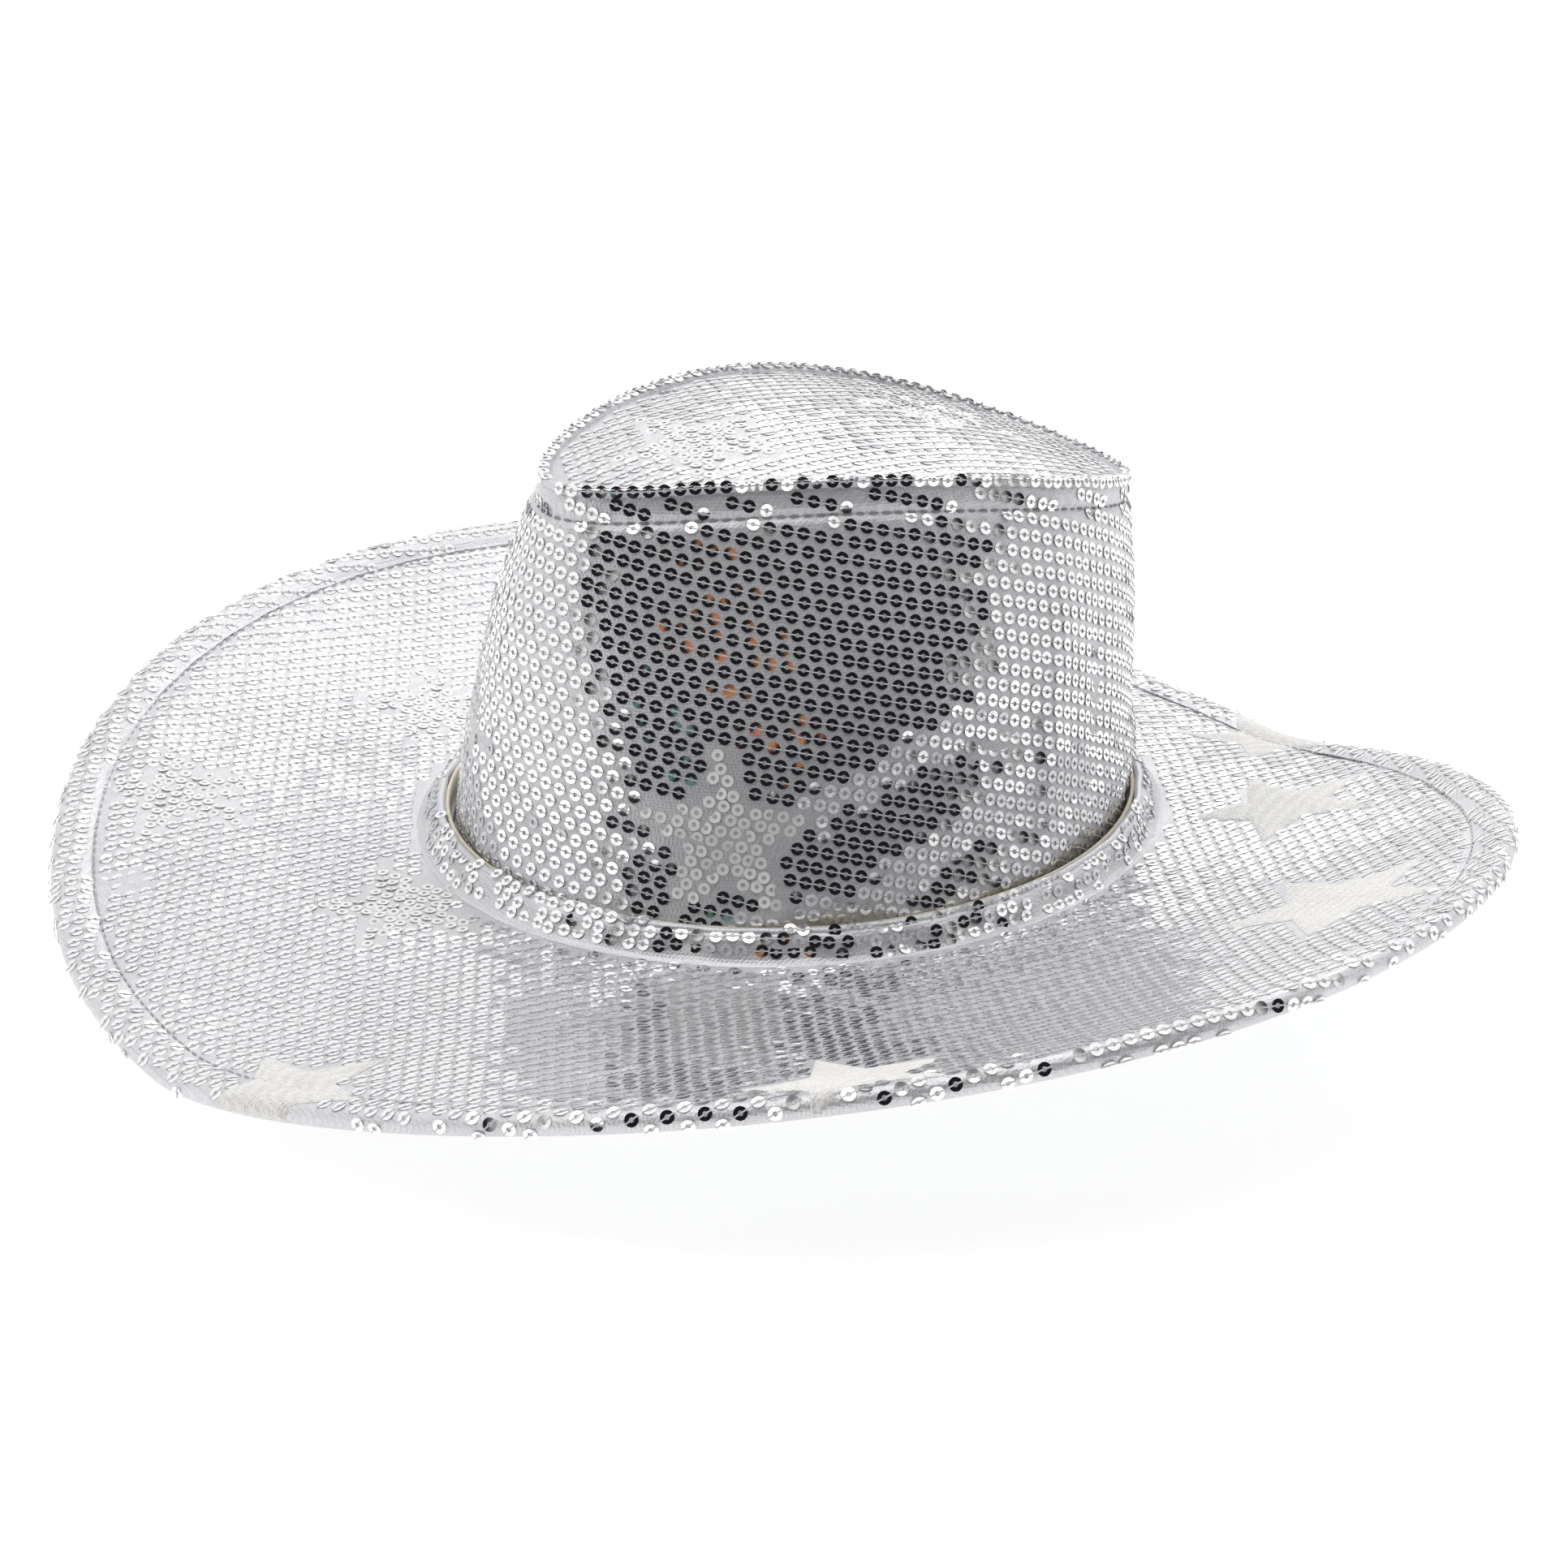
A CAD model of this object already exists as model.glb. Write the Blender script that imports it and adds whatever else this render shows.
"""A sequinned cowboy hat: cloth, sequins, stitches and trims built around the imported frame.

Lengths inside the classes are millimetres about the middle of the head opening.  The front of the
hat is -Y, the wearer's left is +X.  `Bench` turns them into metres in the frame's own place.
"""

import logging
import math
from dataclasses import dataclass, field
from enum import Enum
from typing import Callable, Optional

import bmesh
import bpy
import numpy as np
from mathutils import Matrix, Vector


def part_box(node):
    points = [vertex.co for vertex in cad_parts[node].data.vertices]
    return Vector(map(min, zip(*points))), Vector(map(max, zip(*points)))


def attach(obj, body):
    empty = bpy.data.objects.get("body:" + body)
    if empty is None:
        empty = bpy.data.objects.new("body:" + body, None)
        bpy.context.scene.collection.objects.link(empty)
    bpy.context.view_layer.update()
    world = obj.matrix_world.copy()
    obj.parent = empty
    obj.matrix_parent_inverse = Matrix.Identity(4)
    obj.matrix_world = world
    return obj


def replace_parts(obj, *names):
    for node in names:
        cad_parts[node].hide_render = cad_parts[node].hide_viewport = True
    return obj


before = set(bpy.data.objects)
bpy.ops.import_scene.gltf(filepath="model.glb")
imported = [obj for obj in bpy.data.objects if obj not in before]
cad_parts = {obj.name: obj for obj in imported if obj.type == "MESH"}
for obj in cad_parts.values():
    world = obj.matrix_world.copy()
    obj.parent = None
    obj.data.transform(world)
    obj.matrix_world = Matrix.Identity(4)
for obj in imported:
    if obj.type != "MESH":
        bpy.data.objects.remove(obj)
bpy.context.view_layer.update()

MM = 0.001                  # one millimetre in the frame's metres
BODY = "root"               # the hat's one body
SHARP = math.radians(38)    # edges sharper than this stay crisp
STEP = 0.25                 # step for slopes on a skin, mm
FINE = 2880                 # points round the hat for a line that is sewn along
STAR_FIELD = 34             # half the side of the square that a star is filled in, mm
STAR_MARGIN = 0.9           # how far the plain sequins keep off a star, mm

log = logging.getLogger("hat")
Skin = Callable[[np.ndarray, np.ndarray], np.ndarray]


def unit(vectors: np.ndarray) -> np.ndarray:
    """Vectors scaled to length one."""
    return vectors / np.maximum(np.linalg.norm(vectors, axis=-1, keepdims=True), 1e-12)


def smooth(share: np.ndarray) -> np.ndarray:
    """A soft step from 0 to 1."""
    held = np.clip(share, 0, 1)
    return held * held * (3 - 2 * held)


def hump(distance: np.ndarray, width: float) -> np.ndarray:
    """A bell of height one over a distance."""
    return np.exp(-(distance / width) ** 2)


def turns(count: int) -> np.ndarray:
    """Evenly spaced angles once round the hat."""
    return np.linspace(0, 2 * np.pi, count, endpoint=False)


def run_length(line: np.ndarray, closed: bool = False) -> np.ndarray:
    """Distance along a line to each of its points, and back to the first if it is closed."""
    points = np.concatenate([line, line[:1]]) if closed else line
    return np.concatenate([[0], np.cumsum(np.linalg.norm(np.diff(points, axis=0), axis=-1))])


def tube_quads(count: int, rows: int, around: int, closed: bool) -> np.ndarray:
    """Faces of equal tubes whose points follow one another.

    Args:
        count: how many tubes.
        rows: rows of points in each.
        around: points in each row.
        closed: whether the last row joins the first.

    Returns:
        The faces, (n, 4).
    """
    steps = np.arange(rows if closed else rows - 1)
    tube, row, spot = np.meshgrid(np.arange(count), steps, np.arange(around), indexing="ij")

    def index(row_: np.ndarray, spot_: np.ndarray) -> np.ndarray:
        return (tube * rows + row_ % rows) * around + spot_ % around
    return np.stack([index(row, spot), index(row, spot + 1),
                     index(row + 1, spot + 1), index(row + 1, spot)], -1).reshape(-1, 4)


# ---------------------------------------------------------------- finishes

class Surface(Enum):
    """The fine structure that a finish shows."""

    KNIT = "knit"
    SATIN = "satin"
    GRAIN = "grain"


@dataclass(frozen=True)
class EffectGroups:
    """Builds the node groups that the finishes share."""

    def new(self, name: str, inputs: dict[str, float], outputs: dict[str, str]) -> tuple:
        """An empty group with its sockets.

        Args:
            name: the group's name.
            inputs: float inputs and their default values.
            outputs: output names and their socket types.

        Returns:
            The group, its input node and its output node.
        """
        group = bpy.data.node_groups.new(name, "ShaderNodeTree")
        for label, value in inputs.items():
            socket = group.interface.new_socket(name=label, in_out="INPUT", socket_type="NodeSocketFloat")
            socket.default_value = value
        for label, kind in outputs.items():
            group.interface.new_socket(name=label, in_out="OUTPUT", socket_type=kind)
        return group, group.nodes.new("NodeGroupInput"), group.nodes.new("NodeGroupOutput")

    def surface(self, kind: Surface) -> bpy.types.NodeTree:
        """The group of one fine structure: a height and a shade from 0 to 1.

        Args:
            kind: which structure.

        Returns:
            The group, made once.
        """
        name = f"{kind.value}_structure"
        if name in bpy.data.node_groups:
            return bpy.data.node_groups[name]
        group, start, end = self.new(
            name, {"Scale": 1000.0}, {"Height": "NodeSocketFloat", "Shade": "NodeSocketFloat"})
        place = group.nodes.new("ShaderNodeTexCoord")
        if kind is Surface.GRAIN:
            pattern = group.nodes.new("ShaderNodeTexNoise")
            pattern.inputs["Detail"].default_value = 6
            made = pattern.outputs["Fac"]
        elif kind is Surface.SATIN:
            pattern = group.nodes.new("ShaderNodeTexWave")
            pattern.bands_direction = "DIAGONAL"
            pattern.inputs["Distortion"].default_value = 2.5
            pattern.inputs["Detail"].default_value = 3
            made = pattern.outputs["Fac"]
        else:
            pattern = group.nodes.new("ShaderNodeTexVoronoi")
            pattern.feature = "F1"
            pattern.inputs["Randomness"].default_value = 0.35
            made = pattern.outputs["Distance"]
        group.links.new(place.outputs["Object"], pattern.inputs["Vector"])
        group.links.new(start.outputs["Scale"], pattern.inputs["Scale"])
        spread = group.nodes.new("ShaderNodeMapRange")
        spread.inputs["From Max"].default_value = 0.8
        group.links.new(made, spread.inputs["Value"])
        group.links.new(spread.outputs["Result"], end.inputs["Height"])
        group.links.new(spread.outputs["Result"], end.inputs["Shade"])
        return group

    def tone(self) -> bpy.types.NodeTree:
        """A slow drift of lightness over the cloth, from 0 to 1."""
        if "slow_tone" in bpy.data.node_groups:
            return bpy.data.node_groups["slow_tone"]
        group, start, end = self.new("slow_tone", {"Scale": 25.0}, {"Tone": "NodeSocketFloat"})
        place = group.nodes.new("ShaderNodeTexCoord")
        clouds = group.nodes.new("ShaderNodeTexNoise")
        clouds.inputs["Detail"].default_value = 3
        group.links.new(place.outputs["Object"], clouds.inputs["Vector"])
        group.links.new(start.outputs["Scale"], clouds.inputs["Scale"])
        group.links.new(clouds.outputs["Fac"], end.inputs["Tone"])
        return group


@dataclass(frozen=True)
class Finish:
    """A material: base look on the shader's own sockets, detail from the shared groups."""

    name: str
    color: tuple[float, float, float]
    shade: Optional[tuple[float, float, float]] = None
    metallic: float = 0.0
    roughness: float = 0.6
    sheen: float = 0.0
    surface: Surface = Surface.KNIT
    scale: float = 1100.0
    relief: float = 0.00015
    strength: float = 0.5
    glow: float = 0.0

    def material(self) -> bpy.types.Material:
        """The finish's material, made once."""
        if self.name in bpy.data.materials:
            return bpy.data.materials[self.name]
        material = bpy.data.materials.new(self.name)
        material.use_nodes = True
        tree = material.node_tree
        shader = tree.nodes["Principled BSDF"]
        shader.inputs["Base Color"].default_value = (*self.color, 1)
        shader.inputs["Metallic"].default_value = self.metallic
        shader.inputs["Roughness"].default_value = self.roughness
        shader.inputs["Sheen Weight"].default_value = self.sheen
        shader.inputs["Emission Color"].default_value = (1, 1, 1, 1)
        shader.inputs["Emission Strength"].default_value = self.glow
        groups = EffectGroups()
        detail = tree.nodes.new("ShaderNodeGroup")
        detail.node_tree = groups.surface(self.surface)
        detail.inputs["Scale"].default_value = self.scale
        bump = tree.nodes.new("ShaderNodeBump")
        bump.inputs["Distance"].default_value = self.relief
        bump.inputs["Strength"].default_value = self.strength
        tree.links.new(detail.outputs["Height"], bump.inputs["Height"])
        tree.links.new(bump.outputs["Normal"], shader.inputs["Normal"])
        if self.shade is not None:
            tone = tree.nodes.new("ShaderNodeGroup")
            tone.node_tree = groups.tone()
            both = tree.nodes.new("ShaderNodeMath")
            both.operation = "MULTIPLY"
            mix = tree.nodes.new("ShaderNodeMix")
            mix.data_type = "RGBA"
            mix.inputs["A"].default_value = (*self.shade, 1)
            mix.inputs["B"].default_value = (*self.color, 1)
            tree.links.new(detail.outputs["Shade"], both.inputs[0])
            tree.links.new(tone.outputs["Tone"], both.inputs[1])
            lift = tree.nodes.new("ShaderNodeMapRange")
            lift.inputs["From Max"].default_value = 0.45
            tree.links.new(both.outputs["Value"], lift.inputs["Value"])
            tree.links.new(lift.outputs["Result"], mix.inputs["Factor"])
            tree.links.new(mix.outputs["Result"], shader.inputs["Base Color"])
        return material


SILVER_KNIT = Finish("silver_knit", (0.76, 0.76, 0.78), (0.56, 0.56, 0.58), metallic=0.45, roughness=0.42,
                     scale=1300, relief=0.0002, strength=0.5)
SEQUIN = Finish("mirror_sequin", (0.93, 0.93, 0.94), metallic=1.0, roughness=0.07, surface=Surface.GRAIN,
                scale=300, relief=0.00002, strength=0.12)
STAR_SEQUIN = Finish("matte_sequin", (0.95, 0.95, 0.94), metallic=0.0, roughness=0.34,
                     surface=Surface.GRAIN, scale=900, relief=0.00003, strength=0.3)
STAR_KNIT = Finish("star_knit", (0.90, 0.885, 0.865), (0.74, 0.72, 0.70), roughness=0.8,
                   scale=900, relief=0.0005, strength=0.9)
UNDER_KNIT = Finish("under_knit", (0.23, 0.24, 0.23), (0.12, 0.13, 0.12), roughness=0.85, sheen=0.15,
                    scale=1100, relief=0.0002, strength=0.6)
LINING_SATIN = Finish("lining_satin", (0.84, 0.83, 0.81), (0.70, 0.69, 0.67), roughness=0.35,
                      surface=Surface.SATIN, scale=900, relief=0.00008, strength=0.4)
BEIGE_BAND = Finish("beige_band", (0.78, 0.68, 0.50), (0.68, 0.57, 0.40), roughness=0.3,
                    surface=Surface.GRAIN, scale=700, relief=0.0001, strength=0.35)
WHITE_TAPE = Finish("white_tape", (0.82, 0.81, 0.78), (0.66, 0.65, 0.62), roughness=0.75,
                    surface=Surface.SATIN, scale=1200, relief=0.0001, strength=0.5)
THREAD = Finish("silver_thread", (0.72, 0.72, 0.73), metallic=0.0, roughness=0.5,
                surface=Surface.SATIN, scale=2500, relief=0.00006, strength=0.5)
STITCH_THREAD = Finish("stitch_thread", (0.34, 0.34, 0.35), (0.25, 0.25, 0.26), roughness=0.6,
                       surface=Surface.SATIN, scale=2500, relief=0.00006, strength=0.5)
HEM_THREAD = Finish("hem_thread", (0.62, 0.62, 0.63), (0.52, 0.52, 0.53), roughness=0.5,
                    surface=Surface.SATIN, scale=2500, relief=0.00006, strength=0.5)
STEEL_WIRE = Finish("spring_wire", (0.55, 0.55, 0.56), (0.42, 0.42, 0.43), metallic=1.0, roughness=0.32,
                    surface=Surface.GRAIN, scale=1500, relief=0.00003, strength=0.3)
SLEEVE_PLASTIC = Finish("sleeve_plastic", (0.80, 0.80, 0.78), (0.70, 0.70, 0.68), roughness=0.4,
                        surface=Surface.GRAIN, scale=600, relief=0.00003, strength=0.3)
FOAM_SHEET = Finish("foam_sheet", (0.86, 0.85, 0.82), (0.74, 0.73, 0.70), roughness=0.9,
                    surface=Surface.GRAIN, scale=1600, relief=0.00015, strength=0.6)
FLOOR_PAPER = Finish("floor_paper", (0.62, 0.62, 0.62), (0.60, 0.60, 0.60), roughness=1.0,
                     surface=Surface.GRAIN, scale=40, relief=0.0001, strength=0.1, glow=0.66)


# ---------------------------------------------------------------- the hat's shape

@dataclass
class Fold:
    """A soft ridge or dent in the crown wall's cloth."""

    angle: float        # degrees from the front towards the wearer's left
    share: float        # height on the wall, from 0 to 1
    length: float       # mm along the fold
    width: float        # mm across it
    height: float       # mm outward
    lean: float         # degrees that the fold rises towards the back


@dataclass
class Dent:
    """A shallow round dent in the brim's cloth."""

    x: float            # mm, towards the wearer's left
    y: float            # mm, towards the back
    radius: float       # mm
    depth: float        # mm


@dataclass
class HatShape:
    """The skins that every cloth, sequin and stitch lies on, in mm."""

    brim_front: float = 209.0
    brim_back: float = 159.0
    brim_left: float = 224.0
    brim_right: float = 188.0
    rise_left: float = 54.0
    rise_right: float = 30.0
    curl_power: float = 1.5
    rest_half_arc: float = 0.13
    rest_blend: float = 0.15
    ring_height: float = 9.0
    half_length: float = 101.0
    half_width: float = 90.6
    gutter: float = 5.4
    tuck: float = 1.2
    crown_height: float = 116.0
    tip_half_length: float = 87.0
    tip_half_width: float = 51.0
    tip_shift: float = 10.8
    tip_taper: float = 0.32
    tip_slope: float = 11.6
    tip_saddle: float = 6.0
    tip_dome: float = 9.5
    bulge: tuple[float, float, float] = (5.6, 3.8, 1.8)     # front, side, back
    cloth: float = 0.8
    under_cloth: float = 0.6
    lining_cloth: float = 0.4
    board: float = 2.0
    crown_board: float = 1.5
    gap: float = 0.15
    hem_cloth: float = 0.7
    hem_width: float = 11.0
    tip_stitch_drop: float = 6.5    # stitch row on the wall below the tip's seam
    wire_room: float = 2.4          # sleeve of the edge wire, across
    pattern_radius: float = 475.0   # foot of the crown wall's flat pattern
    folds: list[Fold] = field(default_factory=lambda: [
        Fold(66, 0.42, 34, 9, 1.6, 24), Fold(84, 0.27, 30, 7, 1.3, 20), Fold(58, 0.13, 30, 6, 1.3, 4),
        Fold(100, 0.12, 30, 6, 1.2, 14), Fold(18, 0.09, 30, 6, 1.6, -6), Fold(-8, 0.24, 24, 9, 0.8, -24),
        Fold(-60, 0.30, 34, 9, 1.3, -20), Fold(-110, 0.16, 34, 7, 1.2, 6), Fold(150, 0.24, 34, 9, 1.2, 12),
        Fold(46, 0.05, 22, 4, 1.0, 0), Fold(30, 0.55, 30, 12, 0.8, 60), Fold(108, 0.45, 40, 5, 0.8, 82),
        Fold(121, 0.50, 36, 5, -0.7, 84), Fold(92, 0.36, 30, 13, -1.0, 20), Fold(84, 0.17, 18, 5, -0.8, 30)])
    dents: list[Dent] = field(default_factory=lambda: [
        Dent(-60, -174, 13, 1.5), Dent(-38, -168, 8, -0.7), Dent(-118, -120, 12, 1.0),
        Dent(70, -168, 16, 0.7), Dent(150, -40, 18, 0.8), Dent(40, -150, 12, -0.6),
        Dent(170, 20, 14, -0.7), Dent(-150, 90, 16, 0.9)])

    def __post_init__(self) -> None:
        """Works out the derived sizes and the wall's flat pattern."""
        self.brim_top = self.under_cloth + self.board + self.cloth + 2 * self.gap
        self.wall_foot = self.ring_height + 0.5 + 2 * self.gap
        self.layer_inset = self.hem_cloth + 2 * self.gap + self.wire_room
        self.nose_radius = self.brim_top / 2 + self.gap + self.hem_cloth
        self.wall_rise = self.crown_height - self.wall_foot
        self.pattern_angle, self.pattern_turn, self.pattern_slant = self.flatten_wall()

    # -- brim

    def opening_radius(self, theta: np.ndarray, outward: float) -> np.ndarray:
        """Reach of an oval parallel to the head opening."""
        long, wide = self.half_length + outward, self.half_width + outward
        return long * wide / np.hypot(wide * np.cos(theta), long * np.sin(theta))

    def edge_radius(self, theta: np.ndarray) -> np.ndarray:
        """Reach of the brim's edge: an egg through its four reaches."""
        lengthways = (self.brim_front + self.brim_back) / 2
        sideways = (self.brim_left + self.brim_right) / 2
        return ((lengthways + sideways) / 2 + (lengthways - sideways) / 2 * np.cos(2 * theta)
                + (self.brim_front - self.brim_back) / 2 * np.cos(theta)
                + (self.brim_left - self.brim_right) / 2 * np.sin(theta))

    def stitch_radius(self, theta: np.ndarray) -> np.ndarray:
        """Reach of the stitch row along the hem."""
        return self.edge_radius(theta) - self.hem_width - 0.5

    def oval(self, theta: np.ndarray, outward: np.ndarray, height: np.ndarray) -> np.ndarray:
        """Level points round the head opening, at heights over its middle."""
        radius = self.opening_radius(theta, outward)
        return np.stack([radius * np.sin(theta), -radius * np.cos(theta), height + 0 * theta], -1)

    def edge_height(self, theta: np.ndarray) -> np.ndarray:
        """Underside of the brim's edge, curled up at both sides."""
        side = np.sin(theta)
        share = np.clip(np.abs(side) - self.rest_half_arc, 0, None) / (1 - self.rest_half_arc)
        lift = share * share * (1 + self.rest_blend) / (share + self.rest_blend)
        return self.hem_cloth + self.gap + np.where(side > 0, self.rise_left, self.rise_right) * lift

    def under_height(self, theta: np.ndarray, radius: np.ndarray) -> np.ndarray:
        """Height of the brim's underside."""
        inner = self.opening_radius(theta, self.tuck - self.gutter)
        share = np.clip((radius - inner) / (self.edge_radius(theta) - inner), 0, None) ** self.curl_power
        return self.ring_height * (1 - share) + self.edge_height(theta) * share

    def brim(self, theta: np.ndarray, radius: np.ndarray, above: np.ndarray | float) -> np.ndarray:
        """A point over the brim's underside."""
        height = self.under_height(theta, radius) + above
        return np.stack([radius * np.sin(theta), -radius * np.cos(theta), height], -1)

    def brim_relief(self, theta: np.ndarray, radius: np.ndarray) -> np.ndarray:
        """Soft unevenness of the brim's top cloth, and the dip along its stitched edge."""
        waves = 0.22 * np.sin(5 * theta + 0.06 * radius) + 0.16 * np.sin(11 * theta - 0.09 * radius + 1)
        x, y = radius * np.sin(theta), -radius * np.cos(theta)
        for dent in self.dents:
            waves = waves - dent.depth * hump(np.hypot(x - dent.x, y - dent.y), dent.radius)
        from_stitch = radius - self.stitch_radius(theta)
        from_collar = radius - self.opening_radius(theta, 6.0)
        calm = smooth(1 - from_stitch / 6) * smooth(from_collar / 16)
        return waves * calm - 0.35 * hump(from_stitch, 2.2) + 0.35 * hump(from_stitch + 6, 4)

    def hem_profile(self, theta: np.ndarray, along: np.ndarray, lift: np.ndarray | float) -> np.ndarray:
        """A point on the turned hem.

        Args:
            theta: angle round the hat.
            along: mm over the cloth from the hem's inner edge, outward and round the nose.
            lift: mm over the cloth.

        Returns:
            The points.
        """
        edge = self.edge_radius(theta)
        nose = edge - self.nose_radius
        flat = self.hem_width - self.nose_radius
        bend = np.clip((along - flat) / self.nose_radius, 0, np.pi)
        under = np.clip(along - flat - np.pi * self.nose_radius, 0, flat)
        start = 1 - smooth(along / 3.0)
        ripple = 0.18 * np.sin(64 * theta) * hump(along - 1.5, 2.5)
        swell = 0.35 * hump(along - 5.0, 2.5) + ripple
        top = self.nose_radius + lift + (swell - 0.85 * start) * (bend <= 0)
        radius = np.where(bend > 0, nose - under, edge - self.hem_width + along) + top * np.sin(bend)
        middle = self.under_height(theta, np.minimum(radius, nose)) + self.brim_top / 2
        height = middle + top * np.cos(bend)
        return np.stack([radius * np.sin(theta), -radius * np.cos(theta), height], -1)

    def brim_skin(self, x: np.ndarray, y: np.ndarray) -> np.ndarray:
        """The brim's cloth laid out flat, from the collar to round the hem's nose."""
        theta, radius = np.arctan2(x, -y), np.hypot(x, y)
        along = radius - (self.edge_radius(theta) - self.hem_width)
        top = self.brim(theta, radius, self.brim_top + self.brim_relief(theta, radius))
        hem = self.hem_profile(theta, np.maximum(along, 0), 0.0)
        return np.where((along > 0)[..., None], hem, top)

    # -- crown

    def tip_plan(self, angle: np.ndarray, inset: float = 0.0) -> np.ndarray:
        """Plan of the tip's seam, moved inward."""
        sine, cosine = np.sin(angle), np.cos(angle)
        x = self.tip_half_width * sine * (1 - self.tip_taper * cosine)
        y = self.tip_shift - self.tip_half_length * cosine
        along_x = self.tip_half_width * (cosine - self.tip_taper * np.cos(2 * angle))
        along_y = self.tip_half_length * sine
        size = np.hypot(along_x, along_y)
        return np.stack([x - along_y / size * inset, y + along_x / size * inset], -1)

    def tip_height(self, x: np.ndarray, y: np.ndarray) -> np.ndarray:
        """Height of the tip's outer face."""
        lengthways = (y - self.tip_shift) / self.tip_half_length
        sideways = x / (self.tip_half_width * (1 + self.tip_taper * lengthways))
        return (self.crown_height - self.tip_slope * lengthways
                - self.tip_saddle * (lengthways ** 2 - sideways ** 2)
                + self.tip_dome * (1 - lengthways ** 2 - sideways ** 2))

    def tip_skin(self, x: np.ndarray, y: np.ndarray) -> np.ndarray:
        """The tip's cloth, with a little unevenness."""
        waves = 0.15 * np.sin(x / 7 + 1) * np.sin(y / 9)
        return np.stack([x, y, self.tip_height(x, y) + waves], -1)

    def seam(self, angle: np.ndarray) -> np.ndarray:
        """The seam round the tip."""
        plan = self.tip_plan(angle)
        return np.concatenate([plan, self.tip_height(plan[..., 0], plan[..., 1])[..., None]], -1)

    def wall_outer(self, angle: np.ndarray, share: np.ndarray) -> np.ndarray:
        """The crown wall's outer face without its folds."""
        foot = np.stack([(self.half_width - self.gutter) * np.sin(angle),
                         -(self.half_length - self.gutter) * np.cos(angle),
                         np.full_like(angle, self.wall_foot)], -1)
        front, side, back = self.bulge
        belly = (side + (front - side) * np.clip(np.cos(angle), 0, None) ** 2
                 + (back - side) * np.clip(-np.cos(angle), 0, None) ** 2)
        outward = np.stack([np.sin(angle), -np.cos(angle), np.zeros_like(angle)], -1)
        part = share[..., None]
        swell = outward * (belly * 4 * share * (1 - share))[..., None]
        return foot * (1 - part) + self.seam(angle) * part + swell

    def wall_normal(self, angle: np.ndarray, share: np.ndarray) -> np.ndarray:
        """Outward direction of the plain wall."""
        small = 1e-3
        across = self.wall_outer(angle + small, share) - self.wall_outer(angle - small, share)
        upward = self.wall_outer(angle, share + small) - self.wall_outer(angle, share - small)
        return unit(np.cross(across, upward))

    def wall_relief(self, angle: np.ndarray, share: np.ndarray) -> np.ndarray:
        """Folds, the full shoulder and the pinch along the topstitch, in mm outward."""
        turn = (angle + np.pi) % (2 * np.pi) - np.pi
        made = 1.3 * hump(share - 0.70, 0.17) * (0.45 + 0.55 * np.clip(np.cos(turn), 0, 1))
        for fold in self.folds:
            reach = 78.0 * ((turn - math.radians(fold.angle) + np.pi) % (2 * np.pi) - np.pi)
            rise = self.wall_rise * (share - fold.share)
            lean = math.radians(fold.lean)
            along = reach * math.cos(lean) + rise * math.sin(lean)
            across = rise * math.cos(lean) - reach * math.sin(lean)
            made = made + 1.5 * fold.height * hump(along, fold.length) * hump(across, fold.width)
        row = self.wall_rise * (share - self.stitch_share())
        puckers = 0.16 * np.sin(90 * turn) * hump(row, 3.0)
        return made + puckers - 0.75 * hump(row, 1.1) + 0.45 * hump(row - 4.2, 2.6) + 0.4 * hump(row + 5, 4)

    def stitch_share(self) -> float:
        """Height of the stitch row under the tip's seam."""
        return 1 - self.tip_stitch_drop / self.wall_rise

    def wall(self, angle: np.ndarray, share: np.ndarray, depth: np.ndarray | float) -> np.ndarray:
        """A point at a depth under the plain wall."""
        return self.wall_outer(angle, share) - self.wall_normal(angle, share) * np.asarray(depth)[..., None]

    def flatten_wall(self) -> tuple[np.ndarray, np.ndarray, np.ndarray]:
        """The wall's flat pattern: angle on the hat, turn on the pattern and slant height."""
        angle = np.linspace(-np.pi, np.pi, 721)
        foot = self.wall_outer(angle, np.zeros_like(angle))
        seam = self.seam(angle)
        slant = np.linalg.norm(seam - foot, axis=-1) * 1.012

        def run(line: np.ndarray) -> np.ndarray:
            total = run_length(line)
            return total - total[len(total) // 2]
        turn = (run(foot) / self.pattern_radius + run(seam) / (self.pattern_radius - slant.mean())) / 2
        return angle, turn, slant

    def wall_place(self, u: np.ndarray, v: np.ndarray) -> tuple[np.ndarray, np.ndarray]:
        """Angle and height share of a spot on the wall's flat pattern."""
        reach = np.hypot(u, self.pattern_radius - v)
        angle = np.interp(np.arctan2(u, self.pattern_radius - v), self.pattern_turn, self.pattern_angle)
        slant = np.interp(angle, self.pattern_angle, self.pattern_slant)
        return angle, (self.pattern_radius - reach) / slant

    def wall_spot(self, angle: float, share: float) -> tuple[float, float]:
        """Place on the flat pattern of a spot on the wall."""
        turn = float(np.interp(angle, self.pattern_angle, self.pattern_turn))
        reach = self.pattern_radius - share * float(np.interp(angle, self.pattern_angle, self.pattern_slant))
        return reach * math.sin(turn), self.pattern_radius - reach * math.cos(turn)

    def wall_skin(self, u: np.ndarray, v: np.ndarray) -> np.ndarray:
        """The wall's cloth laid out flat."""
        angle, share = self.wall_place(u, v)
        return self.wall(angle, share, -self.wall_relief(angle, share))


# ---------------------------------------------------------------- meshes

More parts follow.
